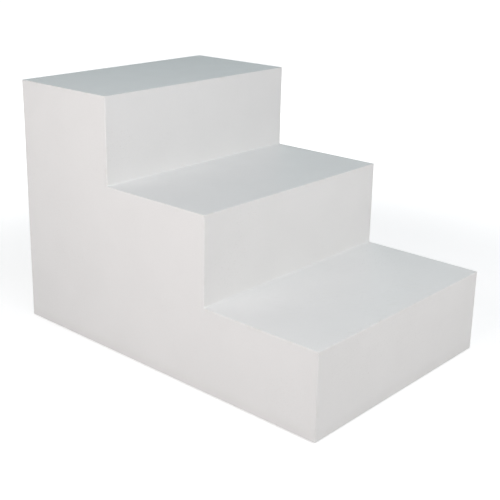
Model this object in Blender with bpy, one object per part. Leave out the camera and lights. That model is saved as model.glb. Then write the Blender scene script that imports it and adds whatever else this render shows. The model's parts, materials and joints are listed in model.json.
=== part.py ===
# Closed stage steps: treads, risers, sides and back of white board, mitred along every corner
# and glued over a frame of planed softwood that stands on small floor pads.
# Metres, +Z up. X runs across the steps, and +Y is the way that a person climbs.
# The origin is on the floor, under the middle of the steps.

import math

import bmesh
import bpy
from mathutils import Vector

# Overall form
STEP_COUNT = 3
WIDTH = 0.600
GOING = 0.300
FIRST_RISE = 0.195
RISE = 0.2025
DEPTH = STEP_COUNT * GOING
HEIGHT = FIRST_RISE + (STEP_COUNT - 1) * RISE
TOP_STEP = STEP_COUNT - 1

# Board of the shell
BOARD = 0.018
ARRIS_RADIUS = 0.002
ARRIS_FACETS = 3
FLOOR_EDGE_EASE = 0.0005
FLOOR_EDGE_HEIGHT = 0.002

# Timber and board of the frame
BATTEN = 0.034
BATTEN_EASE = 0.0015
BATTEN_EASE_FACETS = 2
RIB_BOARD = 0.018

# Floor pads
PAD_RADIUS = 0.014
PAD_HEIGHT = 0.005
PAD_RIM_RADIUS = 0.0015
PAD_RIM_FACETS = 3
PAD_BORE_RADIUS = 0.0022
PAD_SINK_RADIUS = 0.0048
PAD_SINK_DEPTH = 0.0026
PAD_SIDES = 24
PADS_PER_RAIL = 3
PAD_FROM_RAIL_END = 0.050
SMOOTH_ANGLE = math.radians(30)

# Every glued or screwed pair of faces is this far apart
GLUE_LINE = 0.0003
# Each mitred face is held back by half a glue line, which is this much along the face of its board
MITRE_BACK = GLUE_LINE / 2 * math.sqrt(2)

UNIT_NAME = "stage_steps"
SIDES = {"left": -1, "right": 1}
X_AXIS = Vector((1, 0, 0))
Y_AXIS = Vector((0, 1, 0))
Z_AXIS = Vector((0, 0, 1))
SIDE_VIEW = (Y_AXIS, Z_AXIS, X_AXIS)


def finish_material(name, colour, roughness):
    """A plain finish with one colour and roughness."""
    material = bpy.data.materials.new(name)
    material.use_nodes = True
    shader = material.node_tree.nodes["Principled BSDF"]
    shader.inputs["Base Color"].default_value = (*colour, 1)
    shader.inputs["Roughness"].default_value = roughness
    shader.inputs["Metallic"].default_value = 0
    return material


def tread_level(step):
    """Height of a tread's upper face, counting the lowest step as 0."""
    return FIRST_RISE + step * RISE


def riser_line(step):
    """Y of a riser's front face. One past the last step gives the back of the unit."""
    return -DEPTH / 2 + step * GOING


def foot_level(step):
    """Height at which the front face of a riser begins."""
    return tread_level(step - 1) if step else FLOOR_EDGE_HEIGHT


# The faces of the frame lie a glue line inside the shell
INNER_SIDE = WIDTH / 2 - BOARD - GLUE_LINE
INNER_BACK = DEPTH / 2 - BOARD - GLUE_LINE
FRAME_FOOT = PAD_HEIGHT + GLUE_LINE
BASE_RAIL_TOP = FRAME_FOOT + BATTEN


def inner_front(step):
    """Y of the frame behind a riser."""
    return riser_line(step) + BOARD + GLUE_LINE


def inner_top(step):
    """Height of the frame under a tread."""
    return tread_level(step) - BOARD - GLUE_LINE


def rectangle(low_across, low_up, high_across, high_up):
    """Anticlockwise outline whose sides run along the bottom, right, top and left."""
    return [
        Vector((low_across, low_up)),
        Vector((high_across, low_up)),
        Vector((high_across, high_up)),
        Vector((low_across, high_up)),
    ]


def stepped_outline():
    """Side view of the shell in Y and Z: along the floor, up the back and down the steps."""
    corners = rectangle(riser_line(0), FLOOR_EDGE_HEIGHT, DEPTH / 2, HEIGHT)[:3]
    for step in reversed(range(STEP_COUNT)):
        corners.append(Vector((riser_line(step), tread_level(step))))
        if step:
            corners.append(Vector((riser_line(step), foot_level(step))))
    return corners


def offset_outline(outline, insets):
    """A square-cornered anticlockwise outline with each side moved inwards by its own inset.
    Side i runs from corner i to the next one."""
    normals = []
    for corner, after in zip(outline, outline[1:] + outline[:1]):
        run = (after - corner).normalized()
        normals.append(Vector((-run.y, run.x)))
    return [
        corner + normals[side - 1] * insets[side - 1] + normals[side] * insets[side]
        for side, corner in enumerate(outline)
    ]


def fold(depth):
    """Inset of an outside corner's edge: a rounded arris that runs into the mitre."""
    mitre = depth + MITRE_BACK
    if depth >= ARRIS_RADIUS:
        return mitre
    arris = ARRIS_RADIUS - math.sqrt(ARRIS_RADIUS**2 - (ARRIS_RADIUS - depth) ** 2)
    return max(arris, mitre)


def valley(depth):
    """Inset of an inside corner's edge: the board runs on behind the face that it meets."""
    return MITRE_BACK - depth


def floor_edge(depth):
    """Inset of the square edge over the floor, with its outer corner just eased."""
    return max(FLOOR_EDGE_EASE - depth, 0)


def section_depths():
    """Depths under a board's face at which its edges turn: round the arris, then the inner face."""
    turns = [math.radians(45) * facet / ARRIS_FACETS for facet in range(ARRIS_FACETS + 1)]
    return [ARRIS_RADIUS * (1 - math.cos(turn)) for turn in turns] + [BOARD]


def new_object(name, builder, location, material):
    """Links an object that holds this closed mesh, with its faces turned out, under the unit."""
    bmesh.ops.recalc_face_normals(builder, faces=builder.faces)
    mesh = bpy.data.meshes.new(name)
    builder.to_mesh(mesh)
    builder.free()
    if material:
        mesh.materials.append(material)
    piece = bpy.data.objects.new(name, mesh)
    piece.location = location
    piece.parent = bpy.data.objects[UNIT_NAME]
    bpy.context.scene.collection.objects.link(piece)
    return piece


def bridge(builder, first, last):
    """Walls between two matching rings of vertices."""
    for side in range(len(first)):
        builder.faces.new((first[side - 1], first[side], last[side], last[side - 1]))


def shell_board(name, outline, edges, axes, location, material):
    """A board lofted from its outer face to its inner one, with its own section on each edge.
    axes are the directions of the outline's two coordinates and of depth into the board."""
    across, up, inward = axes
    builder = bmesh.new()
    rings = []
    for depth in section_depths():
        ring = offset_outline(outline, [edge(depth) for edge in edges])
        points = [across * point.x + up * point.y + inward * depth for point in ring]
        rings.append([builder.verts.new(point) for point in points])
    builder.faces.new(rings[0])
    builder.faces.new(rings[-1])
    for outer, inner in zip(rings, rings[1:]):
        bridge(builder, outer, inner)
    return new_object(name, builder, location, material)


def shell(board):
    """The boards that show: a tread and a riser for each step, two sides and the back."""
    for step in range(STEP_COUNT):
        shell_board(
            f"tread_{step + 1}",
            rectangle(-WIDTH / 2, 0, WIDTH / 2, GOING),
            [fold, fold, fold if step == TOP_STEP else valley, fold],
            (X_AXIS, Y_AXIS, -Z_AXIS),
            (0, riser_line(step), tread_level(step)),
            board,
        )
        shell_board(
            f"riser_{step + 1}",
            rectangle(-WIDTH / 2, 0, WIDTH / 2, tread_level(step) - foot_level(step)),
            [valley if step else floor_edge, fold, fold, fold],
            (X_AXIS, Z_AXIS, Y_AXIS),
            (0, riser_line(step), foot_level(step)),
            board,
        )
    outline = stepped_outline()
    for side, sign in SIDES.items():
        shell_board(
            f"side_panel_{side}",
            outline,
            [floor_edge] + [fold] * (len(outline) - 1),
            (Y_AXIS, Z_AXIS, -sign * X_AXIS),
            (sign * WIDTH / 2, 0, 0),
            board,
        )
    shell_board(
        "back_panel",
        rectangle(-WIDTH / 2, 0, WIDTH / 2, HEIGHT - FLOOR_EDGE_HEIGHT),
        [floor_edge, fold, fold, fold],
        (X_AXIS, Z_AXIS, -Y_AXIS),
        (0, DEPTH / 2, FLOOR_EDGE_HEIGHT),
        board,
    )


def extrude_profile(builder, profile, axes, length, centre=Vector()):
    """Adds a bar of this profile, centred along its length, and returns the bar's long edges."""
    across, up, along = axes
    points = [centre + across * point.x + up * point.y for point in profile]
    start = [builder.verts.new(point - along * length / 2) for point in points]
    end = [builder.verts.new(point + along * length / 2) for point in points]
    builder.faces.new(start)
    builder.faces.new(end)
    bridge(builder, start, end)
    return [builder.edges.get(ends) for ends in zip(start, end)]


def timber(name, profile, axes, length, location, material):
    """Planed softwood: a bar with its outside long edges eased and its ends cut square."""
    builder = bmesh.new()
    long_edges = extrude_profile(builder, profile, axes, length)
    bmesh.ops.recalc_face_normals(builder, faces=builder.faces)
    bmesh.ops.bevel(
        builder,
        geom=[edge for edge in long_edges if edge.is_convex],
        affect="EDGES",
        offset=BATTEN_EASE,
        segments=BATTEN_EASE_FACETS,
        profile=0.5,
    )
    return new_object(name, builder, location, material)


def cross_timbers():
    """Name, section, seat in Y and Z, and length of each timber that runs across the unit.
    A section's origin is the point that lies on the seat."""
    under_corner = rectangle(0, -BATTEN, BATTEN, 0)
    under_back_corner = rectangle(-BATTEN, -BATTEN, 0, 0)
    on_pads = rectangle(0, 0, BATTEN, BATTEN)
    on_pads_at_back = rectangle(-BATTEN, 0, 0, BATTEN)
    rebated = [
        Vector(corner) * BATTEN for corner in ((-1, 0), (-1, -1), (1, -1), (1, 1), (0, 1), (0, 0))
    ]
    between_sides = 2 * INNER_SIDE
    between_rails = between_sides - 2 * (BATTEN + GLUE_LINE)
    found = []
    for step in range(STEP_COUNT):
        seat = (inner_front(step), inner_top(step))
        found.append((f"nosing_batten_{step + 1}", under_corner, seat, between_sides))
    for step in range(TOP_STEP):
        seat = (inner_front(step + 1), inner_top(step))
        found.append((f"step_rail_{step + 1}", rebated, seat, between_sides))
    seat = (INNER_BACK, inner_top(TOP_STEP))
    found.append(("back_batten", under_back_corner, seat, between_sides))
    seat = (inner_front(0), FRAME_FOOT)
    found.append(("base_rail_front", on_pads, seat, between_rails))
    found.append(("base_rail_back", on_pads_at_back, (INNER_BACK, FRAME_FOOT), between_rails))
    return found


def centre_rib(material):
    """Board up the middle that carries treads and risers, notched over the timbers it crosses."""
    outline = stepped_outline()
    clearances = [FRAME_FOOT - FLOOR_EDGE_HEIGHT] + [BOARD + GLUE_LINE] * (len(outline) - 1)
    builder = bmesh.new()
    extrude_profile(builder, offset_outline(outline, clearances), SIDE_VIEW, RIB_BOARD)
    rib = new_object("centre_rib", builder, (0, 0, 0), material)

    builder = bmesh.new()
    for _, section, seat, _ in cross_timbers():
        notch = offset_outline(section, [-GLUE_LINE] * len(section))
        extrude_profile(builder, notch, SIDE_VIEW, 2 * RIB_BOARD, Vector((0, *seat)))
    cutter = new_object("rib_notches", builder, (0, 0, 0), None)
    cutter.hide_render = True
    cutter.display_type = "WIRE"
    notches = rib.modifiers.new("notches", "BOOLEAN")
    notches.operation = "DIFFERENCE"
    notches.object = cutter


def side_batten(name, side, low, high, along, material):
    """Square timber against a side panel, between two corners given in Y and Z."""
    centre_x = SIDES[side] * (INNER_SIDE - BATTEN / 2)
    middle = Vector((centre_x, (low[0] + high[0]) / 2, (low[1] + high[1]) / 2))
    half = BATTEN / 2
    section = rectangle(-half, -half, half, half)
    if along == Y_AXIS:
        timber(name, section, (X_AXIS, Z_AXIS, Y_AXIS), high[0] - low[0], middle, material)
    else:
        timber(name, section, (X_AXIS, Y_AXIS, Z_AXIS), high[1] - low[1], middle, material)


def side_timbers(side, material):
    """Base rail, cleats and posts down one side, butted to the timbers that run across."""
    side_batten(
        f"base_rail_{side}",
        side,
        (inner_front(0), FRAME_FOOT),
        (INNER_BACK, BASE_RAIL_TOP),
        Y_AXIS,
        material,
    )
    for step in range(STEP_COUNT):
        front = inner_front(step)
        cleat_foot = inner_top(step) - BATTEN
        cleat_end = (INNER_BACK if step == TOP_STEP else inner_front(step + 1)) - BATTEN
        side_batten(
            f"tread_cleat_{side}_{step + 1}",
            side,
            (front + BATTEN + GLUE_LINE, cleat_foot),
            (cleat_end - GLUE_LINE, inner_top(step)),
            Y_AXIS,
            material,
        )
        post_foot = inner_top(step - 1) + BATTEN if step else BASE_RAIL_TOP
        side_batten(
            f"corner_post_{side}_{step + 1}",
            side,
            (front, post_foot + GLUE_LINE),
            (front + BATTEN, cleat_foot - GLUE_LINE),
            Z_AXIS,
            material,
        )
    side_batten(
        f"back_post_{side}",
        side,
        (INNER_BACK - BATTEN, BASE_RAIL_TOP + GLUE_LINE),
        (INNER_BACK, inner_top(TOP_STEP) - BATTEN - GLUE_LINE),
        Z_AXIS,
        material,
    )


def pad_section():
    """Section of a floor pad in radius and height: rounded rim, flat foot and countersunk bore."""
    rim = []
    for facet in range(PAD_RIM_FACETS + 1):
        turn = math.radians(90) * facet / PAD_RIM_FACETS
        radius = PAD_RADIUS - PAD_RIM_RADIUS * (1 - math.cos(turn))
        rim.append((radius, PAD_RIM_RADIUS * (1 - math.sin(turn))))
    bore = [
        (PAD_SINK_RADIUS, 0),
        (PAD_BORE_RADIUS, PAD_SINK_DEPTH),
        (PAD_BORE_RADIUS, PAD_HEIGHT),
    ]
    return [(PAD_RADIUS, PAD_HEIGHT)] + rim + bore


def floor_pad(name, location, material):
    """Turned pad with a bore for its screw."""
    builder = bmesh.new()
    corners = [builder.verts.new((radius, 0, height)) for radius, height in pad_section()]
    loop = [builder.edges.new(ends) for ends in zip(corners, corners[1:] + corners[:1])]
    bmesh.ops.spin(
        builder,
        geom=corners + loop,
        cent=(0, 0, 0),
        axis=Z_AXIS,
        angle=math.radians(360),
        steps=PAD_SIDES,
        use_merge=True,
    )
    pad = new_object(name, builder, location, material)
    pad.data.shade_smooth()
    pad.data.set_sharp_from_angle(angle=SMOOTH_ANGLE)


def floor_pads(side, material):
    """Pads in a row under one side's base rail."""
    first = inner_front(0) + PAD_FROM_RAIL_END
    spacing = (INNER_BACK - PAD_FROM_RAIL_END - first) / (PADS_PER_RAIL - 1)
    centre_x = SIDES[side] * (INNER_SIDE - BATTEN / 2)
    for place in range(PADS_PER_RAIL):
        location = (centre_x, first + place * spacing, 0)
        floor_pad(f"floor_pad_{side}_{place + 1}", location, material)


def build():
    """The whole unit, in a scene that holds nothing else."""
    for old in list(bpy.data.objects):
        bpy.data.objects.remove(old)
    bpy.context.scene.collection.objects.link(bpy.data.objects.new(UNIT_NAME, None))

    white_paint = finish_material("white_paint", (0.82, 0.82, 0.81), 0.38)
    softwood = finish_material("softwood", (0.68, 0.50, 0.30), 0.70)
    raw_board = finish_material("raw_board", (0.50, 0.37, 0.24), 0.85)
    nylon = finish_material("nylon", (0.78, 0.77, 0.73), 0.45)

    shell(white_paint)
    for name, section, seat, length in cross_timbers():
        timber(name, section, SIDE_VIEW, length, (0, *seat), softwood)
    centre_rib(raw_board)
    for side in SIDES:
        side_timbers(side, softwood)
        floor_pads(side, nylon)


build()
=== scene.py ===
# Stage steps: a block of three white-painted steps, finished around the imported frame.
# Metres, +Z up, in the frame's own place: X runs across the steps, +Y the way that a person climbs.

import json
import math
import random

import bmesh
import bpy
from mathutils import Matrix, Vector


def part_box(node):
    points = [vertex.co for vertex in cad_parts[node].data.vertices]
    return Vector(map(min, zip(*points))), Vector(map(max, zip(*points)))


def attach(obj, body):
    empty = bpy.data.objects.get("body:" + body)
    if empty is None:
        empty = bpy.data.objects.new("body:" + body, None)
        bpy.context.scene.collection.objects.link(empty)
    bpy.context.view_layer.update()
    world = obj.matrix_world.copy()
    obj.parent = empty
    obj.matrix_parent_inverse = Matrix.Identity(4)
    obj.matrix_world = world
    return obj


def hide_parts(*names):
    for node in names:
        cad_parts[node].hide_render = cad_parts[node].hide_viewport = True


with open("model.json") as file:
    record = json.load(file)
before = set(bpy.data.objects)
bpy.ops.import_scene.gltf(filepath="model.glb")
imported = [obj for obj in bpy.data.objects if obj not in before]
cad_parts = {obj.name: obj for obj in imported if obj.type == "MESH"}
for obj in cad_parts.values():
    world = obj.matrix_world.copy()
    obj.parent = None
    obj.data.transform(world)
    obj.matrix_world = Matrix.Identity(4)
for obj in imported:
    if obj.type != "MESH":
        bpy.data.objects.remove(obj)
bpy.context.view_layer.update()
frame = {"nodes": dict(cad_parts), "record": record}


# The view
# A stooping person's view from the left front, down onto the treads. The lens and the small shift
# give the photograph's square picture, and the camera leans by under a degree.
VIEW_PLACE = Vector((-1.6292, -1.4287, 0.9803))
VIEW_AZIMUTH = math.radians(-47.12)
VIEW_ELEVATION = math.radians(17.39)
VIEW_LEAN = math.radians(0.63)
PICTURE_SIDE = 500
FOCAL_PIXELS = 959.6
OPTICAL_AXIS_PIXEL = (220.5, 213.2)
SENSOR_MM = 36

lens = bpy.data.cameras.new("view")
lens.sensor_width = SENSOR_MM
lens.lens = SENSOR_MM * FOCAL_PIXELS / PICTURE_SIDE
lens.shift_x = 0.5 - OPTICAL_AXIS_PIXEL[0] / PICTURE_SIDE
lens.shift_y = OPTICAL_AXIS_PIXEL[1] / PICTURE_SIDE - 0.5
camera = bpy.data.objects.new("view", lens)
turn = Matrix.Rotation(VIEW_AZIMUTH, 4, "Z")
tilt = Matrix.Rotation(math.radians(90) - VIEW_ELEVATION, 4, "X")
lean = Matrix.Rotation(VIEW_LEAN, 4, "Z")
camera.matrix_world = Matrix.Translation(VIEW_PLACE) @ turn @ tilt @ lean
bpy.context.scene.collection.objects.link(camera)
bpy.context.scene.camera = camera


# The shell boards
# Nine boards of 18 mm fibreboard, mitred along every corner and glued. The mitres are filled and
# sanded shut and the arrises rounded over before the outside is painted. The inside stays bare.
STEPS = (1, 2, 3)
FRONTS = [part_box(f"riser_{step}")[0].y for step in STEPS]
LEVELS = [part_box(f"tread_{step}")[1].z for step in STEPS]
HALF_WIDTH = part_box("side_panel_right")[1].x
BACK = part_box("back_panel")[1].y
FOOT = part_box("side_panel_left")[0].z
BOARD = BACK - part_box("back_panel")[0].y
ARRIS_RADIUS = 0.002
ARRIS_FACETS = 6
ARRIS_WEAR_START = 0.4
MITRE_ANGLE = math.radians(45)
EDGE_BAND = 0.008
FILLED_MITRE = 0.00001
FOOT_EASE = 0.0005
SMOOTH_ANGLE = math.radians(35)
X_AXIS = Vector((1, 0, 0))
Y_AXIS = Vector((0, 1, 0))
Z_AXIS = Vector((0, 0, 1))
SLOT_COLOURS = {finish["slot"]: finish["base_color"] for finish in frame["record"]["materials"]}
MILLIMETRE = 0.001
# Places of a Mix node's two colours and of the colour that it gives
MIX_FIRST = 6
MIX_SECOND = 7
MIX_RESULT = 2
# Ranges that hold most of a noise's values, and nearly all of them
MOST_NOISE = (0.3, 0.7)
NEARLY_ALL_NOISE = (0.25, 0.75)


def node(tree, kind, inputs=None, **settings):
    """Adds a shader node. Each of its inputs is a plain value or another node's output."""
    made = tree.nodes.new(kind)
    for setting, value in settings.items():
        setattr(made, setting, value)
    for socket, value in (inputs or {}).items():
        if isinstance(value, bpy.types.NodeSocket):
            tree.links.new(value, made.inputs[socket])
        else:
            made.inputs[socket].default_value = value
    return made


def maths(tree, operation, *values):
    """What a Math node makes of these values."""
    return node(tree, "ShaderNodeMath", dict(enumerate(values)), operation=operation).outputs[0]


def ramp(tree, value, low, high, start, end):
    """Goes smoothly from start to end while the value goes from low to high."""
    inputs = {"Value": value, "From Min": low, "From Max": high, "To Min": start, "To Max": end}
    made = node(tree, "ShaderNodeMapRange", inputs, interpolation_type="SMOOTHSTEP")
    return made.outputs["Result"]


def scaled(tree, place, scales):
    """The place with each of its coordinates multiplied by its own scale."""
    made = node(tree, "ShaderNodeVectorMath", {0: place, 1: scales}, operation="MULTIPLY")
    return made.outputs[0]


def in_lumps(tree, place, sizes):
    """The place counted in lumps that have their own size along each axis."""
    return scaled(tree, place, [1 / size for size in sizes])


def noise(tree, place, lump, detail=2.0):
    """Cloudy noise from 0 to 1 with lumps of about this size."""
    inputs = {"Vector": place, "Scale": 1 / lump, "Detail": detail}
    return node(tree, "ShaderNodeTexNoise", inputs).outputs["Fac"]


def blended(tree, share, first, second):
    """The colour that goes from the first to the second as the share goes from 0 to 1."""
    inputs = {"Factor": share, MIX_FIRST: first, MIX_SECOND: second}
    return node(tree, "ShaderNodeMix", inputs, data_type="RGBA").outputs[MIX_RESULT]


def shaded(tree, colour, value):
    """The colour made lighter or darker by a value near 1."""
    even = node(tree, "ShaderNodeCombineColor", {0: value, 1: value, 2: value}).outputs[0]
    inputs = {"Factor": 1.0, MIX_FIRST: colour, MIX_SECOND: even}
    made = node(tree, "ShaderNodeMix", inputs, data_type="RGBA", blend_type="MULTIPLY")
    return made.outputs[MIX_RESULT]


def effect(name, inputs, outputs):
    """An empty shader group. Its input sockets have usual values, and its outputs are numbers,
    or colours where their name says so."""
    group = bpy.data.node_groups.new(name, "ShaderNodeTree")
    for socket, value in inputs.items():
        kinds = {3: "NodeSocketVector", 4: "NodeSocketColor"}
        kind = kinds[len(value)] if isinstance(value, tuple) else "NodeSocketFloat"
        made = group.interface.new_socket(socket, in_out="INPUT", socket_type=kind)
        made.default_value = value
    for socket in outputs:
        kind = "NodeSocketColor" if "Colour" in socket else "NodeSocketFloat"
        group.interface.new_socket(socket, in_out="OUTPUT", socket_type=kind)
    given = group.nodes.new("NodeGroupInput").outputs
    result = group.nodes.new("NodeGroupOutput").inputs
    return group, given, result


def laid_on(tree, group, values):
    """What an effect's group gives when it is placed in a material with these values."""
    return node(tree, "ShaderNodeGroup", values, node_tree=group).outputs


def new_material(name, slot):
    """A material in a slot's colour, with its tree, shader and the place on the object."""
    material = bpy.data.materials.new(name)
    material.use_nodes = True
    tree = material.node_tree
    shader = tree.nodes["Principled BSDF"]
    shader.inputs["Base Color"].default_value = (*SLOT_COLOURS[slot], 1)
    place = node(tree, "ShaderNodeTexCoord").outputs["Object"]
    return material, tree, shader, place


def bump(tree, shader, height):
    """Gives the shader a relief whose height is in millimetres."""
    relief = node(tree, "ShaderNodeBump", {"Height": height, "Distance": MILLIMETRE})
    tree.links.new(relief.outputs["Normal"], shader.inputs["Normal"])


# Grey darkening near the floor, in patches, strongest at the very edge
NEAR_FLOOR_PATCH = 0.035
FAINTEST_NEAR_FLOOR = 0.35
near_floor_darkening, given, result = effect(
    "near_floor_darkening",
    {"Place": (0.0, 0.0, 0.0), "Reach": 0.04, "Thickness": 0.5},
    ["Mask"],
)
height = node(near_floor_darkening, "ShaderNodeSeparateXYZ", {0: given["Place"]}).outputs["Z"]
low = ramp(near_floor_darkening, height, 0.0, given["Reach"], 1.0, 0.0)
patches = noise(near_floor_darkening, given["Place"], NEAR_FLOOR_PATCH, 4.0)
patchy = maths(near_floor_darkening, "MULTIPLY", low, ramp(near_floor_darkening, patches, *MOST_NOISE, FAINTEST_NEAR_FLOOR, 1.0))
near_floor_darkening.links.new(maths(near_floor_darkening, "MULTIPLY", patchy, given["Thickness"]), result["Mask"])

# Faint long rubs, in loose patches, such as shoes and a van's floor leave
RUB_LENGTH = 0.055
RUB_WIDTH = 0.0022
RUB_TURNS = ((0.1, 0.05, 0.75), (-0.08, 0.12, -0.45))
RUB_EDGE = (0.60, 0.74)
RUB_PATCH_EDGE = (0.54, 0.68)
rub_marks, given, result = effect(
    "rub_marks",
    {"Place": (0.0, 0.0, 0.0), "Patch": 0.22, "Thickness": 0.5},
    ["Mask"],
)
layers = []
for turn in RUB_TURNS:
    inputs = {"Vector": given["Place"], "Rotation": turn}
    turned = node(rub_marks, "ShaderNodeMapping", inputs).outputs[0]
    long = in_lumps(rub_marks, turned, (RUB_LENGTH, RUB_WIDTH, RUB_WIDTH))
    streak = ramp(rub_marks, noise(rub_marks, long, 1.0, 1.0), *RUB_EDGE, 0.0, 1.0)
    inputs = {0: turned, 1: given["Patch"]}
    wide = node(rub_marks, "ShaderNodeVectorMath", inputs, operation="DIVIDE").outputs[0]
    patch = ramp(rub_marks, noise(rub_marks, wide, 1.0, 1.0), *RUB_PATCH_EDGE, 0.0, 1.0)
    layers.append(maths(rub_marks, "MULTIPLY", streak, patch))
either = maths(rub_marks, "MAXIMUM", *layers)
rub_marks.links.new(maths(rub_marks, "MULTIPLY", either, given["Thickness"]), result["Mask"])

# White satin, rolled on in three coats. The roller leaves a fine stipple over the slow waves of the
# board, and the arrises are rubbed a little. The inside corners carry a little dirt and painted shade,
# and the paint is darker towards the floor.
WHITE = (*SLOT_COLOURS["white_paint"], 1)
RUBBED_WHITE = (0.71, 0.70, 0.66, 1)
DIRT_AND_SHADE_GREY = (0.42, 0.40, 0.36, 1)
PAINT_CLOUD = 0.11
PAINT_CLOUD_TONE = (0.988, 1.008)
PAINT_FLECK = 0.006
PAINT_FLECK_TONE = (0.996, 1.004)
WORN_SPOT = 0.028
WORN_SPOT_EDGE = (0.48, 0.70)
MOST_WORN = 0.55
CORNER_DIRT_AND_SHADE_SPOT = 0.02
CORNER_DIRT_AND_SHADE_EDGE = (0.4, 0.8)
CORNER_DIRT_AND_SHADE_FALL = 3.0
MOST_CORNER_DIRT_AND_SHADE = 0.03
SATIN_SPOT = 0.045
SATIN_ROUGHNESS = (0.42, 0.50)
DULLING_WHERE_DARKENED = 0.8
STIPPLE = 0.0016
STIPPLE_HEIGHT = 0.016
ORANGE_PEEL = 0.006
ORANGE_PEEL_HEIGHT = 0.045
BOARD_WAVE = 0.16
BOARD_WAVE_HEIGHT = 0.45
white_paint, tree, shader, place = new_material("white_paint", "white_paint")
arris = node(tree, "ShaderNodeAttribute", attribute_name="arris").outputs["Fac"]
crease = node(tree, "ShaderNodeAttribute", attribute_name="crease").outputs["Fac"]
cloud = ramp(tree, noise(tree, place, PAINT_CLOUD, 3.0), *NEARLY_ALL_NOISE, *PAINT_CLOUD_TONE)
fleck = ramp(tree, noise(tree, place, PAINT_FLECK), *MOST_NOISE, *PAINT_FLECK_TONE)
colour = shaded(tree, WHITE, maths(tree, "MULTIPLY", cloud, fleck))
rubbed = ramp(tree, noise(tree, place, WORN_SPOT, 4.0), *WORN_SPOT_EDGE, 0.0, MOST_WORN)
colour = blended(tree, maths(tree, "MULTIPLY", arris, rubbed), colour, RUBBED_WHITE)
marks = laid_on(tree, rub_marks, {"Place": place, "Patch": 0.24, "Thickness": 0.10})["Mask"]
# The paint is darker towards the floor, in grey patches
near_floor = laid_on(tree, near_floor_darkening, {"Place": place, "Reach": 0.035, "Thickness": 0.07})["Mask"]
# Painted shade with a little dirt: the paint darkens in patches in the inside corners
spots = noise(tree, place, CORNER_DIRT_AND_SHADE_SPOT, 3.0)
corner_patches = ramp(tree, spots, *CORNER_DIRT_AND_SHADE_EDGE, 0.0, MOST_CORNER_DIRT_AND_SHADE)
corner = maths(tree, "MULTIPLY", maths(tree, "POWER", crease, CORNER_DIRT_AND_SHADE_FALL), corner_patches)
# The rubs, the darkening near the floor and the painted corner shade all blend towards one grey
dirt_and_shade = maths(tree, "ADD", marks, maths(tree, "ADD", near_floor, corner))
tree.links.new(blended(tree, dirt_and_shade, colour, DIRT_AND_SHADE_GREY), shader.inputs["Base Color"])
sheen = ramp(tree, noise(tree, place, SATIN_SPOT, 3.0), *MOST_NOISE, *SATIN_ROUGHNESS)
roughness = maths(tree, "ADD", sheen, maths(tree, "MULTIPLY", dirt_and_shade, DULLING_WHERE_DARKENED))
tree.links.new(roughness, shader.inputs["Roughness"])
stipple = maths(tree, "MULTIPLY", noise(tree, place, STIPPLE), STIPPLE_HEIGHT)
orange_peel = maths(tree, "MULTIPLY", noise(tree, place, ORANGE_PEEL, 1.0), ORANGE_PEEL_HEIGHT)
waves = maths(tree, "MULTIPLY", noise(tree, place, BOARD_WAVE, 1.0), BOARD_WAVE_HEIGHT)
bump(tree, shader, maths(tree, "ADD", stipple, maths(tree, "ADD", orange_peel, waves)))

# Bare fibreboard: tan fibres pressed flat, with darker flecks and a soft nap
BOARD_DARK = (0.31, 0.21, 0.13, 1)
BOARD_CLOUD = 0.05
BOARD_CLOUD_TONE = (0.93, 1.06)
BOARD_FIBRE = 0.0009
BOARD_FIBRE_HEIGHT = 0.05
BOARD_FLECK_EDGE = (0.52, 0.78)
MOST_FLECKED = 0.55
BOARD_ROUGHNESS = (0.80, 0.92)
raw_board, tree, shader, place = new_material("raw_board", "raw_board")
fibre = noise(tree, place, BOARD_FIBRE, 4.0)
cloud = ramp(tree, noise(tree, place, BOARD_CLOUD, 3.0), *MOST_NOISE, *BOARD_CLOUD_TONE)
colour = shaded(tree, (*SLOT_COLOURS["raw_board"], 1), cloud)
flecks = ramp(tree, fibre, *BOARD_FLECK_EDGE, 0.0, MOST_FLECKED)
colour = blended(tree, flecks, colour, BOARD_DARK)
# The board is darker towards the floor
near_floor = laid_on(tree, near_floor_darkening, {"Place": place, "Thickness": 0.35})["Mask"]
tree.links.new(blended(tree, near_floor, colour, DIRT_AND_SHADE_GREY), shader.inputs["Base Color"])
tree.links.new(ramp(tree, fibre, *MOST_NOISE, *BOARD_ROUGHNESS), shader.inputs["Roughness"])
bump(tree, shader, maths(tree, "MULTIPLY", fibre, BOARD_FIBRE_HEIGHT))


def offset_outline(outline, insets):
    """A square-cornered anticlockwise outline with each side moved inwards by its own inset."""
    normals = []
    for corner, after in zip(outline, outline[1:] + outline[:1]):
        run = (after - corner).normalized()
        normals.append(Vector((-run.y, run.x)))
    return [
        corner + normals[side - 1] * insets[side - 1] + normals[side] * insets[side]
        for side, corner in enumerate(outline)
    ]


def fold(depth):
    """Inset of an outside corner's edge: the rounded arris, then the closed mitre."""
    rounding = max(ARRIS_RADIUS - depth, 0)
    arris = ARRIS_RADIUS - math.sqrt(ARRIS_RADIUS**2 - rounding**2)
    return max(arris, depth) + FILLED_MITRE


def valley(depth):
    """Inset of an inside corner's edge, which runs on behind the face that it meets."""
    return FILLED_MITRE - depth


def floor_edge(depth):
    """Inset of the square edge over the floor."""
    return max(FOOT_EASE - depth, 0)


def finished_piece(name, builder, materials):
    """A piece from its mesh, smooth but for its sharp edges. It rides with the steps."""
    bmesh.ops.recalc_face_normals(builder, faces=builder.faces)
    mesh = bpy.data.meshes.new(name)
    builder.to_mesh(mesh)
    builder.free()
    for material in materials:
        mesh.materials.append(material)
    mesh.shade_smooth()
    mesh.set_sharp_from_angle(angle=SMOOTH_ANGLE)
    piece = bpy.data.objects.new(name, mesh)
    bpy.context.scene.collection.objects.link(piece)
    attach(piece, "root")
    return piece


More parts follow.
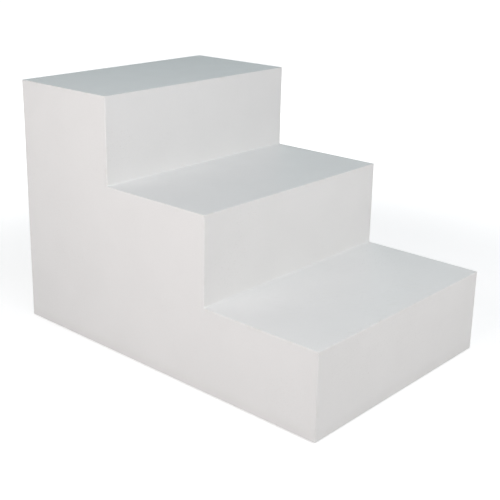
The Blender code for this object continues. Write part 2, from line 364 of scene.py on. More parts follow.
def shell_board(name, outline, edges, axes, place):
    """A board lofted from its outer face to its inner one, with its own section on each edge.
    Its corners carry how near they are to a rounded arris or to an inside corner."""
    across, up, inward = axes
    turns = [MITRE_ANGLE * facet / ARRIS_FACETS for facet in range(ARRIS_FACETS + 1)]
    rounding = [ARRIS_RADIUS * (1 - math.cos(turn)) for turn in turns]
    depths = [0] + rounding + [BOARD]
    bands = [EDGE_BAND] + [0] * (len(depths) - 1)
    worn = [ARRIS_WEAR_START + (1 - ARRIS_WEAR_START) * turn / MITRE_ANGLE for turn in turns]
    wear = [0] + worn + [0]
    builder = bmesh.new()
    layers = {
        fold: builder.loops.layers.float.new("arris"),
        valley: builder.loops.layers.float.new("crease"),
    }
    rings = []
    for depth, band in zip(depths, bands):
        ring = offset_outline(outline, [edge(depth) + band for edge in edges])
        points = [place + across * point.x + up * point.y + inward * depth for point in ring]
        rings.append([builder.verts.new(point) for point in points])
    builder.faces.new(rings[0])
    builder.faces.new(rings[-1]).material_index = 1
    for depth in range(len(rings) - 1):
        outer, inner = rings[depth], rings[depth + 1]
        nearness = {**dict.fromkeys(outer, wear[depth]), **dict.fromkeys(inner, wear[depth + 1])}
        for side, edge in enumerate(edges):
            after = (side + 1) % len(edges)
            face = builder.faces.new((outer[side], outer[after], inner[after], inner[side]))
            if inner is rings[-1] and edge is not floor_edge:
                face.material_index = 1
            if edge in layers:
                for corner in face.loops:
                    corner[layers[edge]] = nearness[corner.vert]
    board = finished_piece(name, builder, [white_paint, raw_board])
    flatter = board.modifiers.new("flat_faces", "WEIGHTED_NORMAL")
    flatter.keep_sharp = True
    return board


def rectangle(low_across, low_up, high_across, high_up):
    """Anticlockwise outline whose sides run along the bottom, right, top and left."""
    return [
        Vector((low_across, low_up)),
        Vector((high_across, low_up)),
        Vector((high_across, high_up)),
        Vector((low_across, high_up)),
    ]


going = FRONTS[1] - FRONTS[0]
feet = [FOOT] + LEVELS[:-1]
for step, front, level, foot in zip(STEPS, FRONTS, LEVELS, feet):
    tread = shell_board(
        f"painted_tread_{step}",
        rectangle(-HALF_WIDTH, 0, HALF_WIDTH, going),
        [fold, fold, fold if step == STEPS[-1] else valley, fold],
        (X_AXIS, Y_AXIS, -Z_AXIS),
        Vector((0, front, level)),
    )
    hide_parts(f"tread_{step}")
    riser = shell_board(
        f"painted_riser_{step}",
        rectangle(-HALF_WIDTH, foot, HALF_WIDTH, level),
        [floor_edge if step == STEPS[0] else valley, fold, fold, fold],
        (X_AXIS, Z_AXIS, Y_AXIS),
        Vector((0, front, 0)),
    )
    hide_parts(f"riser_{step}")

side_view = rectangle(FRONTS[0], FOOT, BACK, LEVELS[-1])[:3]
for front, level, foot in reversed(list(zip(FRONTS, LEVELS, feet))):
    side_view.append(Vector((front, level)))
    if foot > FOOT:
        side_view.append(Vector((front, foot)))
for side, sign in (("left", -1), ("right", 1)):
    panel = shell_board(
        f"painted_side_{side}",
        side_view,
        [floor_edge] + [fold] * (len(side_view) - 1),
        (Y_AXIS, Z_AXIS, -sign * X_AXIS),
        Vector((sign * HALF_WIDTH, 0, 0)),
    )
    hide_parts(f"side_panel_{side}")
back_board = shell_board(
    "painted_back",
    rectangle(-HALF_WIDTH, FOOT, HALF_WIDTH, LEVELS[-1]),
    [floor_edge, fold, fold, fold],
    (X_AXIS, Z_AXIS, -Y_AXIS),
    Vector((0, BACK, 0)),
)
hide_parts("back_panel")


# The filled corners
# Filler drawn with a fingertip along the two inside corners before the last coat, so that each
# riser's foot runs into the tread in front of it without a line.
FILLER_RADIUS = 0.0028
FILLER_FACETS = 8
FILLER_BEDDING = 0.0002
quarter_turns = [math.radians(90) * facet / FILLER_FACETS for facet in range(FILLER_FACETS + 1)]
hollow = [
    Vector((FILLER_RADIUS * (math.sin(turn) - 1), FILLER_RADIUS * (1 - math.cos(turn))))
    for turn in quarter_turns
]
bedding = [
    Vector((FILLER_BEDDING, FILLER_RADIUS)),
    Vector((FILLER_BEDDING, -FILLER_BEDDING)),
    Vector((-FILLER_RADIUS, -FILLER_BEDDING)),
]
stations = []
for turn in quarter_turns:
    in_from_side = ARRIS_RADIUS * (1 - math.cos(turn))
    fallen = ARRIS_RADIUS * (1 - math.sin(turn))
    stations.append((in_from_side - HALF_WIDTH, fallen))
stations += [(-across, fallen) for across, fallen in reversed(stations)]


def join_rings(builder, rings):
    """Faces that join each ring of vertices to the next one, which has as many."""
    for ring, after in zip(rings, rings[1:]):
        for corner in range(len(ring)):
            builder.faces.new((ring[corner - 1], ring[corner], after[corner], after[corner - 1]))


def loft(builder, rings):
    """A closed solid through rings of vertices, one after another. Gives its first end."""
    first_end = builder.faces.new(rings[0])
    builder.faces.new(rings[-1])
    join_rings(builder, rings)
    return first_end


builder = bmesh.new()
for front, level in zip(FRONTS[1:], LEVELS):
    rings = []
    for across, fallen in stations:
        ring = [
            builder.verts.new((across, front + point.x + fallen, level + point.y - fallen))
            for point in hollow + bedding
        ]
        rings.append(ring)
    loft(builder, rings)
finished_piece("filled_corners", builder, [white_paint])


# The frame timbers
# Planed pine, 34 mm square, glued and screwed behind every corner of the shell. The two rebated
# rails are twice as wide, and wrap the foot of the riser that each carries.
NODE_SLOTS = {part["node"]: part["material_slot"] for part in frame["record"]["subparts"]}
TIMBERS = [name for name, slot in NODE_SLOTS.items() if slot == "softwood"]
REBATED_RAILS = ["step_rail_1", "step_rail_2"]
SQUARE_TIMBERS = [name for name in TIMBERS if name not in REBATED_RAILS]
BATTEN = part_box("back_batten")[1].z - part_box("back_batten")[0].z

# Pine sawn along X: growth rings round a pith that lies off to one side, fine fibres, a few knots.
# Piece, from 0 to 1, turns and shifts the pith and picks a place along the log.
PITH_NEAR = 0.030
PITH_FAR = 0.085
PITH_TURN = 61.0
PITH_SHIFTS = 17.0
LOG_LENGTH = 11.0
RING_BEND = 0.006
RING_BEND_LENGTH = 0.16
RING_BEND_STRETCH = (1, 0.4, 0.4)
RING_BEND_EDGE = (0.2, 0.8)
RING_HARDENS = (0.35, 0.90)
RING_ENDS = (0.93, 1.0)
LATE_WOOD_DEPTH = 0.62
LATE_WOOD_HEIGHT = 0.05
KNOT_SPACING = 0.15
KNOT_RADIUS = 0.008
KNOT_CORE = 0.8 * KNOT_RADIUS
KNOT_LUMP = 0.004
KNOT_RAGGEDNESS = 0.0015
KNOT_TONE = (0.35, 0.6)
KNOT_HEIGHT = 0.08
SWIRL_REACH = 3 * KNOT_RADIUS
SWIRL = 0.007
PINE_FIBRE = (0.030, 0.0005, 0.0005)
PINE_FIBRE_TONE = (0.90, 1.07)
PINE_FIBRE_HEIGHT = 0.06
PINE_STREAK = (0.25, 0.006, 0.006)
PINE_STREAK_TONE = (0.93, 1.05)
timber_grain, given, result = effect(
    "timber_grain",
    {
        "Place": (0.0, 0.0, 0.0),
        "Piece": 0.5,
        "Ring": 0.0030,
        "Pale Colour": (0.75, 0.58, 0.37, 1.0),
        "Dark Colour": (0.53, 0.34, 0.17, 1.0),
    },
    ["Colour", "Height"],
)
tree = timber_grain
turn = maths(tree, "MULTIPLY", given["Piece"], PITH_TURN)
share = maths(tree, "FRACT", maths(tree, "MULTIPLY", given["Piece"], PITH_SHIFTS))
reach = ramp(tree, share, 0.0, 1.0, PITH_NEAR, PITH_FAR)
inputs = {0: (LOG_LENGTH, 0.0, 0.0), "Scale": given["Piece"]}
shift = node(tree, "ShaderNodeVectorMath", inputs, operation="SCALE").outputs[0]
inputs = {0: given["Place"], 1: shift}
own = node(tree, "ShaderNodeVectorMath", inputs, operation="ADD").outputs[0]
part = node(tree, "ShaderNodeSeparateXYZ", {0: own}).outputs
bends = noise(tree, scaled(tree, own, RING_BEND_STRETCH), RING_BEND_LENGTH, 1.0)
bend = ramp(tree, bends, *RING_BEND_EDGE, -RING_BEND, RING_BEND)
pith_across = maths(tree, "MULTIPLY", reach, maths(tree, "COSINE", turn))
pith_up = maths(tree, "MULTIPLY", reach, maths(tree, "SINE", turn))
off_across = maths(tree, "ADD", maths(tree, "SUBTRACT", part["Y"], pith_across), bend)
off_up = maths(tree, "SUBTRACT", part["Z"], pith_up)
off_pith = node(tree, "ShaderNodeCombineXYZ", {0: off_across, 1: off_up}).outputs[0]
radius = node(tree, "ShaderNodeVectorMath", {0: off_pith}, operation="LENGTH").outputs["Value"]
knots = node(tree, "ShaderNodeTexVoronoi", {"Vector": own, "Scale": 1 / KNOT_SPACING})
off_knot = maths(tree, "MULTIPLY", knots.outputs["Distance"], KNOT_SPACING)
ragged = ramp(tree, noise(tree, own, KNOT_LUMP), *MOST_NOISE, -KNOT_RAGGEDNESS, KNOT_RAGGEDNESS)
off_knot = maths(tree, "ADD", off_knot, ragged)
knot = ramp(tree, off_knot, KNOT_CORE, KNOT_RADIUS, 1.0, 0.0)
swirl = ramp(tree, off_knot, KNOT_RADIUS, SWIRL_REACH, SWIRL, 0.0)
season = maths(tree, "FRACT", maths(tree, "DIVIDE", maths(tree, "ADD", radius, swirl), given["Ring"]))
hardening = ramp(tree, season, *RING_HARDENS, 0.0, 1.0)
late_wood = maths(tree, "MULTIPLY", hardening, ramp(tree, season, *RING_ENDS, 1.0, 0.0))
fibres = noise(tree, in_lumps(tree, own, PINE_FIBRE), 1.0, 3.0)
streaks = noise(tree, in_lumps(tree, own, PINE_STREAK), 1.0)
ringed = maths(tree, "MULTIPLY", late_wood, LATE_WOOD_DEPTH)
colour = blended(tree, ringed, given["Pale Colour"], given["Dark Colour"])
colour = shaded(tree, colour, ramp(tree, fibres, *NEARLY_ALL_NOISE, *PINE_FIBRE_TONE))
colour = shaded(tree, colour, ramp(tree, streaks, *NEARLY_ALL_NOISE, *PINE_STREAK_TONE))
heart = shaded(tree, given["Dark Colour"], ramp(tree, off_knot, 0.0, KNOT_RADIUS, *KNOT_TONE))
tree.links.new(blended(tree, knot, colour, heart), result["Colour"])
raised_rings = maths(tree, "MULTIPLY", late_wood, LATE_WOOD_HEIGHT)
raised_fibres = maths(tree, "MULTIPLY", fibres, PINE_FIBRE_HEIGHT)
raised_knots = maths(tree, "MULTIPLY", knot, KNOT_HEIGHT)
relief = maths(tree, "ADD", maths(tree, "ADD", raised_rings, raised_fibres), raised_knots)
tree.links.new(relief, result["Height"])


def longest_axis(name):
    """0, 1 or 2 for a timber that runs along X, Y or Z."""
    low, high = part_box(name)
    return max(range(3), key=lambda axis: (high - low)[axis])


PLANED_SPOT = 0.03
PLANED_ROUGHNESS = (0.60, 0.74)


def pine(name, along, section):
    """Pine sawn along X, Y or Z (0, 1 or 2) to this square section."""
    material, tree, shader, place = new_material(name, "softwood")
    lengths = node(tree, "ShaderNodeSeparateXYZ", {0: place}).outputs
    shares = node(tree, "ShaderNodeTexCoord").outputs["Generated"]
    shares = node(tree, "ShaderNodeSeparateXYZ", {0: shares}).outputs
    across = maths(tree, "MULTIPLY", maths(tree, "SUBTRACT", shares[(along + 1) % 3], 0.5), section)
    up = maths(tree, "MULTIPLY", maths(tree, "SUBTRACT", shares[(along + 2) % 3], 0.5), section)
    sawn = node(tree, "ShaderNodeCombineXYZ", {0: lengths[along], 1: across, 2: up}).outputs[0]
    piece = node(tree, "ShaderNodeObjectInfo").outputs["Random"]
    grain = laid_on(tree, timber_grain, {"Place": sawn, "Piece": piece})
    # Darker towards the floor
    near_floor = laid_on(tree, near_floor_darkening, {"Place": place, "Reach": 0.05, "Thickness": 0.25})["Mask"]
    tree.links.new(blended(tree, near_floor, grain["Colour"], DIRT_AND_SHADE_GREY), shader.inputs["Base Color"])
    planed = ramp(tree, noise(tree, place, PLANED_SPOT), *MOST_NOISE, *PLANED_ROUGHNESS)
    tree.links.new(planed, shader.inputs["Roughness"])
    bump(tree, shader, grain["Height"])
    return material


pines = [pine(f"pine_along_{'xyz'[along]}", along, BATTEN) for along in range(3)]
for name in SQUARE_TIMBERS:
    frame["nodes"][name].material_slots[0].material = pines[longest_axis(name)]
rebated_pine = pine("rebated_pine", 0, 2 * BATTEN)
for name in REBATED_RAILS:
    frame["nodes"][name].material_slots[0].material = rebated_pine


# The centre rib
# One board of the same bare fibreboard as the shell, cut to the steps and notched over the timbers
# that it crosses. Glue alone holds it.
frame["nodes"]["centre_rib"].material_slots[0].material = raw_board


# The glue
# Wood glue that squeezed out where the timbers and the rib were pressed to the boards, and dried
# in the corners as uneven amber beads.
GLUE_SEED = 11
GLUE_STEP = 0.006
GLUE_WIDTH = (0.0014, 0.0040)
GLUE_SMOOTHING = 2
GLUE_TAPER = (0.35, 0.75)
GLUE_BULGE = ((1.0, 0.0), (0.78, 0.42), (0.42, 0.78), (0.0, 1.0))
GLUE_BEDDING = 0.0002
GLUE_CLEARANCE = 0.001
TOUCHING = 0.001
AXES = (X_AXIS, Y_AXIS, Z_AXIS)
INNER_FRONTS = [front + BOARD for front in FRONTS]
INNER_LEVELS = [level - BOARD for level in LEVELS]
INNER_BACK = BACK - BOARD
INNER_FACES = {
    (0, -1): [BOARD - HALF_WIDTH],
    (0, 1): [HALF_WIDTH - BOARD],
    (1, -1): INNER_FRONTS,
    (1, 1): [INNER_BACK],
    (2, 1): INNER_LEVELS,
}


def glued_faces(name):
    """Axis, side and place of each board that a square timber is glued to along its length."""
    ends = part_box(name)
    return [
        (axis, side, face)
        for (axis, side), faces in INNER_FACES.items()
        for face in faces
        if axis != longest_axis(name) and abs(face - ends[side > 0][axis]) < TOUCHING
    ]


# A seam is what is glued, its two ends, and the ways that lead off the board and off the timber
seams = []
for name in SQUARE_TIMBERS:
    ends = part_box(name)
    glued = glued_faces(name)
    for axis, side, face in glued:
        across = 3 - longest_axis(name) - axis
        covered = {way for other, way, _ in glued if other == across}
        for open_side in (-1, 1):
            if open_side not in covered:
                corners = [end.copy() for end in ends]
                for corner in corners:
                    corner[axis] = face
                    corner[across] = ends[open_side > 0][across]
                seams.append((name, *corners, -side * AXES[axis], open_side * AXES[across]))
for name, front, level in zip(REBATED_RAILS, INNER_FRONTS[1:], INNER_LEVELS):
    low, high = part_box(name)
    under_tread = [Vector((x, low.y, level)) for x in (low.x, high.x)]
    behind_riser = [Vector((x, front, high.z)) for x in (low.x, high.x)]
    seams.append((name, *under_tread, -Z_AXIS, -Y_AXIS))
    seams.append((name, *behind_riser, Y_AXIS, Z_AXIS))
rib_low, rib_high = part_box("centre_rib")
turns = [(INNER_BACK, rib_low.z)]
for front, level in reversed(list(zip(INNER_FRONTS, INNER_LEVELS))):
    turns += [(turns[-1][0], level), (front, level)]
turns.append((INNER_FRONTS[0], rib_low.z))
ways = [-Y_AXIS] + [-Z_AXIS, Y_AXIS] * len(STEPS)
for x, off_rib in ((rib_low.x, -X_AXIS), (rib_high.x, X_AXIS)):
    for start, end, off_board in zip(turns, turns[1:], ways):
        seams.append(("centre_rib", Vector((x, *start)), Vector((x, *end)), off_board, off_rib))

wood_boxes = {name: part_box(name) for name in TIMBERS + ["centre_rib"]}


def is_open(point, glued):
    """Whether a point near one piece's seam is clear of all the others."""
    for name, (low, high) in wood_boxes.items():
        inside = all(
            low[axis] - GLUE_CLEARANCE < point[axis] < high[axis] + GLUE_CLEARANCE for axis in range(3)
        )
        if inside and name != glued:
            return False
    return True


def add_bead(builder, run, off_board, off_timber):
    """One run of glue, from its places in the corner and its widths there."""
    widths = [width for _, width in run]
    for station, taper in enumerate(GLUE_TAPER):
        widths[station] *= taper
        widths[-1 - station] *= taper
    rings = []
    for (place, _), width in zip(run, widths):
        section = [(max(out * width, -GLUE_BEDDING), up * width) for out, up in GLUE_BULGE]
        section[0] = (width, -GLUE_BEDDING)
        section[-1] = (-GLUE_BEDDING, width)
        section.append((-GLUE_BEDDING, -GLUE_BEDDING))
        points = [place + off_timber * out + off_board * up for out, up in section]
        rings.append([builder.verts.new(point) for point in points])
    loft(builder, rings)


random.seed(GLUE_SEED)
builder = bmesh.new()
for name, start, end, off_board, off_timber in seams:
    count = round((end - start).length / GLUE_STEP)
    squeezed = [random.uniform(*GLUE_WIDTH) for _ in range(count + 1)]
    runs = [[]]
    for station in range(count + 1):
        place = start.lerp(end, station / count)
        if is_open(place + (off_board + off_timber) * GLUE_WIDTH[0], name):
            nearby = squeezed[max(station - GLUE_SMOOTHING, 0) : station + GLUE_SMOOTHING + 1]
            runs[-1].append((place, sum(nearby) / len(nearby)))
        else:
            runs.append([])
    for run in runs:
        if len(run) > 2 * len(GLUE_TAPER):
            add_bead(builder, run, off_board, off_timber)

# Amber where the glue dried thick, paler where it foamed, under a wrinkled skin
PALE_GLUE = (0.86, 0.79, 0.60, 1)
GLUE_CLOUD = 0.009
GLUE_CLOUD_EDGE = (0.35, 0.65)
GLUE_WRINKLE = 0.0025
GLUE_WRINKLE_HEIGHT = 0.25
GLUE_ROUGHNESS = (0.28, 0.46)
dried_glue, tree, shader, place = new_material("dried_glue", "wood_glue")
foamed = ramp(tree, noise(tree, place, GLUE_CLOUD, 3.0), *GLUE_CLOUD_EDGE, 0.0, 1.0)
colour = blended(tree, foamed, (*SLOT_COLOURS["wood_glue"], 1), PALE_GLUE)
# Darker towards the floor
near_floor = laid_on(tree, near_floor_darkening, {"Place": place})["Mask"]
tree.links.new(blended(tree, near_floor, colour, DIRT_AND_SHADE_GREY), shader.inputs["Base Color"])
skin = noise(tree, place, GLUE_WRINKLE)
tree.links.new(ramp(tree, skin, *MOST_NOISE, *GLUE_ROUGHNESS), shader.inputs["Roughness"])
bump(tree, shader, maths(tree, "MULTIPLY", skin, GLUE_WRINKLE_HEIGHT))
finished_piece("glue_beads", builder, [dried_glue])


# The frame screws
# Zinc-plated countersunk screws with a cross recess, driven from inside through each timber into
# the board that it carries.
SCREW_LENGTH = 0.045
SCREW_HEAD_RADIUS = 0.0040
SCREW_SHANK_RADIUS = 0.0019
SCREW_RIM = 0.0004
SCREW_RIM_EASE = 0.00015
SCREW_POINT = 0.006
SCREW_TIP_SHARE = 0.1
RECESS_REACH = 0.0022
RECESS_SLOT = 0.0006
RECESS_DEPTH = 0.0018
RECESS_TAPER = 0.4
SCREW_SPACING = 0.170
SCREW_INSETS = (0.045, 0.070)
SHORT_INSETS = (0.25, 0.35)
HEAD_PROUD = 0.0002
# Turn and reach of each corner of the cross recess, the same for the screw's other rings
quarter_turn = math.radians(90)
slot_corner = math.atan(RECESS_SLOT / RECESS_REACH)
eighth = [0, slot_corner, (slot_corner + quarter_turn / 2) / 2, quarter_turn / 2]
quarter = eighth + [quarter_turn - turn for turn in reversed(eighth[1:-1])]
recess = []
for corner, turn in enumerate(quarter * 4):
    off_arm = min(turn, quarter_turn - turn)
    reach = RECESS_REACH / math.cos(off_arm)
    if off_arm > slot_corner:
        reach = RECESS_SLOT / math.sin(off_arm)
    recess.append((turn + quarter_turn * (corner // len(quarter)), reach))


def add_screw(builder, place, way, head_radius, length):
    """A screw with the middle of its head's face at a place, driven this way."""
    spin = Matrix.Rotation(random.uniform(0, quarter_turn), 3, "Z")
    turned = way.to_track_quat("Z", "Y").to_matrix() @ spin
    neck = SCREW_RIM + head_radius - SCREW_SHANK_RADIUS
    outline = [
        (head_radius - SCREW_RIM_EASE, 0),
        (head_radius, SCREW_RIM_EASE),
        (head_radius, SCREW_RIM),
        (SCREW_SHANK_RADIUS, neck),
        (SCREW_SHANK_RADIUS, length - SCREW_POINT),
        (SCREW_SHANK_RADIUS * SCREW_TIP_SHARE, length),
    ]
    sections = [[(reach * RECESS_TAPER, RECESS_DEPTH) for _, reach in recess]]
    sections.append([(reach, 0) for _, reach in recess])
    sections += [[corner] * len(recess) for corner in outline]
    rings = []
    for section in sections:
        ring = []
        for (turn, _), (radius, depth) in zip(recess, section):
            point = Vector((radius * math.cos(turn), radius * math.sin(turn), depth))
            ring.append(builder.verts.new(place + turned @ point))
        rings.append(ring)
    recess_floor = loft(builder, rings)
    bmesh.ops.poke(builder, faces=[recess_floor])


def spaced(name, order):
    """Even places along a timber for its first or second row of screws, clear of the rib."""
    along = longest_axis(name)
    low, high = [end[along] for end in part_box(name)]
    inset = min(SCREW_INSETS[order], SHORT_INSETS[order] * (high - low))
    gaps = max(round((high - low - 2 * inset) / SCREW_SPACING), 1)
    if along == 0 and gaps % 2 == 0:
        gaps += 1
    return [low + inset + (high - low - 2 * inset) * gap / gaps for gap in range(gaps + 1)]


driven = []
for name in SQUARE_TIMBERS:
    low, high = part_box(name)
    for order, (axis, side, _) in enumerate(glued_faces(name)):
        for position in spaced(name, order):
            place = (low + high) / 2
            place[longest_axis(name)] = position
            place[axis] = (low if side > 0 else high)[axis]
            driven.append((place, side * AXES[axis]))
for name in REBATED_RAILS:
    low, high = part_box(name)
    driven += [(Vector((x, low.y + BATTEN / 2, low.z)), Z_AXIS) for x in spaced(name, 0)]
    driven += [(Vector((x, high.y, high.z - BATTEN / 2)), -Y_AXIS) for x in spaced(name, 1)]
builder = bmesh.new()
for place, way in driven:
    add_screw(builder, place - way * HEAD_PROUD, way, SCREW_HEAD_RADIUS, SCREW_LENGTH)

# Bright zinc that dulls in small clouds, over the fine grain of the plating
DULL_ZINC = (0.50, 0.49, 0.45, 1)
TARNISH_SPOT = 0.0022
TARNISH_EDGE = (0.35, 0.70)
MOST_TARNISHED = 0.8
ZINC_ROUGHNESS = (0.26, 0.50)
PLATING_GRAIN = 0.0004
PLATING_HEIGHT = 0.010
zinc_plate, tree, shader, place = new_material("zinc_plate", "zinc_screw")
shader.inputs["Metallic"].default_value = 1.0
tarnish = ramp(tree, noise(tree, place, TARNISH_SPOT, 3.0), *TARNISH_EDGE, 0.0, MOST_TARNISHED)
colour = blended(tree, tarnish, (*SLOT_COLOURS["zinc_screw"], 1), DULL_ZINC)
tree.links.new(colour, shader.inputs["Base Color"])
roughness = ramp(tree, tarnish, 0.0, MOST_TARNISHED, *ZINC_ROUGHNESS)
tree.links.new(roughness, shader.inputs["Roughness"])
bump(tree, shader, maths(tree, "MULTIPLY", noise(tree, place, PLATING_GRAIN), PLATING_HEIGHT))
finished_piece("frame_screws", builder, [zinc_plate])


# The floor pads
# Six turned nylon pads under the side rails, each held by one screw in its countersunk bore. They
# keep the painted edges clear of the floor.
PADS = [name for name, slot in NODE_SLOTS.items() if slot == "nylon"]
PAD_SIDES = 72
PAD_RIM_RADIUS = 0.0015
PAD_RIM_FACETS = 6
PAD_BORE_RADIUS = 0.0022
PAD_SINK_RADIUS = 0.0048
PAD_SINK_DEPTH = 0.0026
PAD_SCREW_HEAD = 0.0038
PAD_SCREW_SUNK = 0.0005
PAD_SCREW_LENGTH = 0.025
pad_low, pad_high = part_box(PADS[0])
PAD_RADIUS = (pad_high.x - pad_low.x) / 2
PAD_HEIGHT = pad_high.z - pad_low.z

# Nylon with the fine rings that the turning tool left, scuffed and greyed where it meets the floor
SCUFFED_NYLON = (0.52, 0.50, 0.46, 1)
TOOL_RING = 0.00045
TOOL_RING_HEIGHT = 0.03
TRODDEN_HEIGHT = 0.0016
MOST_TRODDEN = 0.75
SCUFF = 0.0008
SCUFF_EDGE = (0.36, 0.70)
LEAST_SCUFFED = 0.45
SCUFF_DEPTH = 0.03
NYLON_CLOUD = 0.005
NYLON_CLOUD_TONE = (0.96, 1.03)
NYLON_ROUGHNESS = (0.40, 0.72)
nylon, tree, shader, place = new_material("turned_nylon", "nylon")
shares = node(tree, "ShaderNodeTexCoord").outputs["Generated"]
off_centre = node(tree, "ShaderNodeVectorMath", {0: shares, 1: (0.5, 0.5, 0)}, operation="SUBTRACT")
flat = scaled(tree, off_centre.outputs[0], (2 * PAD_RADIUS, 2 * PAD_RADIUS, 0))
radius = node(tree, "ShaderNodeVectorMath", {0: flat}, operation="LENGTH").outputs["Value"]
radius = node(tree, "ShaderNodeCombineXYZ", {0: radius}).outputs[0]
tool_rings = maths(tree, "MULTIPLY", noise(tree, radius, TOOL_RING, 1.0), TOOL_RING_HEIGHT)
height = node(tree, "ShaderNodeSeparateXYZ", {0: place}).outputs["Z"]
trodden = ramp(tree, height, 0.0, TRODDEN_HEIGHT, MOST_TRODDEN, 0.0)
scuffs = ramp(tree, noise(tree, place, SCUFF, 4.0), *SCUFF_EDGE, LEAST_SCUFFED, 1.0)
greyed = maths(tree, "MULTIPLY", trodden, scuffs)
cloud = ramp(tree, noise(tree, place, NYLON_CLOUD), *MOST_NOISE, *NYLON_CLOUD_TONE)
colour = shaded(tree, (*SLOT_COLOURS["nylon"], 1), cloud)
tree.links.new(blended(tree, greyed, colour, SCUFFED_NYLON), shader.inputs["Base Color"])
roughness = ramp(tree, greyed, 0.0, MOST_TRODDEN, *NYLON_ROUGHNESS)
tree.links.new(roughness, shader.inputs["Roughness"])
scratches = maths(tree, "MULTIPLY", greyed, SCUFF_DEPTH)
bump(tree, shader, maths(tree, "SUBTRACT", tool_rings, scratches))

rim = []
for facet in range(PAD_RIM_FACETS + 1):
    turn = math.radians(90) * facet / PAD_RIM_FACETS
    out = PAD_RADIUS - PAD_RIM_RADIUS * (1 - math.cos(turn))
    rim.append((out, PAD_RIM_RADIUS * (1 - math.sin(turn))))
bore = [(PAD_SINK_RADIUS, 0), (PAD_BORE_RADIUS, PAD_SINK_DEPTH), (PAD_BORE_RADIUS, PAD_HEIGHT)]
pad_outline = [(PAD_RADIUS, PAD_HEIGHT)] + rim + bore
screws = bmesh.new()
for name in PADS:
    low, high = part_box(name)
    centre = Vector(((low.x + high.x) / 2, (low.y + high.y) / 2, low.z))
    builder = bmesh.new()
    rings = []
    for side in range(PAD_SIDES):
        turned = Matrix.Rotation(math.radians(360) * side / PAD_SIDES, 3, "Z")
        points = [centre + turned @ Vector((out, 0, up)) for out, up in pad_outline]
        rings.append([builder.verts.new(point) for point in points])
    join_rings(builder, rings + rings[:1])
    pad = finished_piece(name.replace("floor_pad", "turned_pad"), builder, [nylon])
    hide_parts(name)
    add_screw(screws, centre + Z_AXIS * PAD_SCREW_SUNK, Z_AXIS, PAD_SCREW_HEAD, PAD_SCREW_LENGTH)
finished_piece("pad_screws", screws, [zinc_plate])


# The studio
# A plain pale floor that holds the steps' soft shadow, a white backdrop, and five soft lamps: two near
# ones at the left and in front, and three wide ones above, behind and at the right. The paint mirrors
# the backdrop, not the lamps.
LAMP_AIM = Vector((0, -0.05, 0.3))
# Name, place, width and height, watts and tint of each lamp
LAMPS = (
    ("lamp_left", (-1.9, -0.15, 1.0), (1.4, 1.2), 20.3, (1.057, 0.981, 0.962)),
    ("lamp_front", (0.1, -1.9, 0.9), (1.6, 1.0), 11.2, (1.080, 0.985, 0.936)),
    ("lamp_above", (-0.4, -1.6, 2.6), (2.4, 2.0), 29.3, (0.948, 0.996, 1.057)),
    ("lamp_behind", (0.0, 3.2, 1.0), (2.6, 1.6), 42.0, (1.000, 1.000, 1.000)),
    ("lamp_right", (3.2, 0.6, 1.0), (2.6, 1.6), 33.0, (1.000, 1.000, 1.000)),
)
for name, place, size, watts, tint in LAMPS:
    light = bpy.data.lights.new(name, "AREA")
    light.shape = "RECTANGLE"
    light.size, light.size_y = size
    light.energy = watts
    light.color = tint
    lamp = bpy.data.objects.new(name, light)
    lamp.location = place
    lamp.rotation_euler = (LAMP_AIM - lamp.location).to_track_quat("-Z", "Y").to_euler()
    lamp.visible_camera = False
    lamp.visible_glossy = False
    bpy.context.scene.collection.objects.link(lamp)


def seen_rays(tree):
    """1 for rays that show the background: straight from the camera, reflected or refracted.
    Then 1 for those straight from the camera alone."""
    path = node(tree, "ShaderNodeLightPath").outputs
    shown = maths(tree, "MAXIMUM", path["Is Glossy Ray"], path["Is Transmission Ray"])
    return maths(tree, "MAXIMUM", path["Is Camera Ray"], shown), path["Is Camera Ray"]


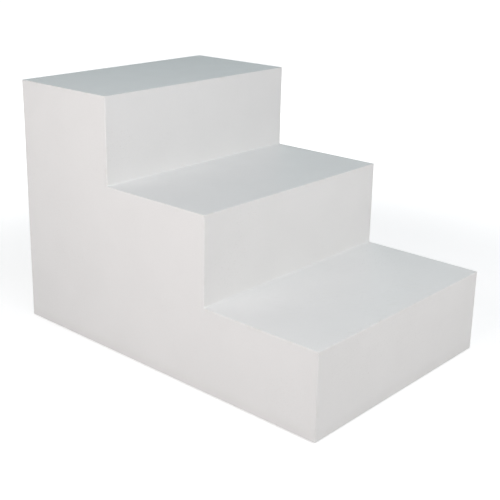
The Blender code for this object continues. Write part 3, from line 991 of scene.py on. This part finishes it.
# A plain floor that glows for the rays that show the background, fully from a short way out, so that
# it runs into the white backdrop and keeps the shadow close to the steps
FLOOR_SIDE = 40.0
FLOOR_COLOUR = (0.60, 0.60, 0.60, 1)
FLOOR_ROUGHNESS = 0.9
FLOOR_GLOW = (0.55, 1.0)
FLOOR_GLOW_FROM = (0.9, 2.2)
floor_paint = bpy.data.materials.new("floor_paint")
floor_paint.use_nodes = True
tree = floor_paint.node_tree
shader = tree.nodes["Principled BSDF"]
shader.inputs["Base Color"].default_value = FLOOR_COLOUR
shader.inputs["Roughness"].default_value = FLOOR_ROUGHNESS
shader.inputs["Specular IOR Level"].default_value = 0.0
shader.inputs["Emission Strength"].default_value = 1.0
place = node(tree, "ShaderNodeTexCoord").outputs["Object"]
distance = node(tree, "ShaderNodeVectorMath", {0: place}, operation="LENGTH").outputs["Value"]
shown, _ = seen_rays(tree)
glow = maths(tree, "MULTIPLY", ramp(tree, distance, *FLOOR_GLOW_FROM, *FLOOR_GLOW), shown)
white_glow = node(tree, "ShaderNodeCombineColor", {0: glow, 1: glow, 2: glow}).outputs[0]
tree.links.new(white_glow, shader.inputs["Emission Color"])

mesh = bpy.data.meshes.new("floor")
half = FLOOR_SIDE / 2
corners = [(corner.x, corner.y, 0) for corner in rectangle(-half, -half, half, half)]
mesh.from_pydata(corners, [], [(0, 1, 2, 3)])
mesh.materials.append(floor_paint)
floor = bpy.data.objects.new("floor", mesh)
bpy.context.scene.collection.objects.link(floor)

# White straight behind the steps. In reflections the white reaches a little above the floor, and a
# grey ceiling lies over it. The room's own light on the steps is weak.
ROOM_LIGHT = (0.10, 0.12, 0.13, 1)
CEILING = (0.40, 0.54, 0.55, 1)
WHITE_LIGHT = (1, 1, 1, 1)
BACKDROP_TOP = (0.05, 0.17)
world = bpy.data.worlds.new("studio")
world.use_nodes = True
tree = world.node_tree
direction = node(tree, "ShaderNodeTexCoord").outputs["Generated"]
upward = node(tree, "ShaderNodeSeparateXYZ", {0: direction}).outputs["Z"]
shown, from_camera = seen_rays(tree)
reflected = blended(tree, ramp(tree, upward, *BACKDROP_TOP, 0.0, 1.0), WHITE_LIGHT, CEILING)
background = blended(tree, from_camera, reflected, WHITE_LIGHT)
room = blended(tree, shown, ROOM_LIGHT, background)
tree.links.new(room, tree.nodes["Background"].inputs["Color"])
bpy.context.scene.world = world
bpy.context.scene.view_settings.view_transform = "Standard"
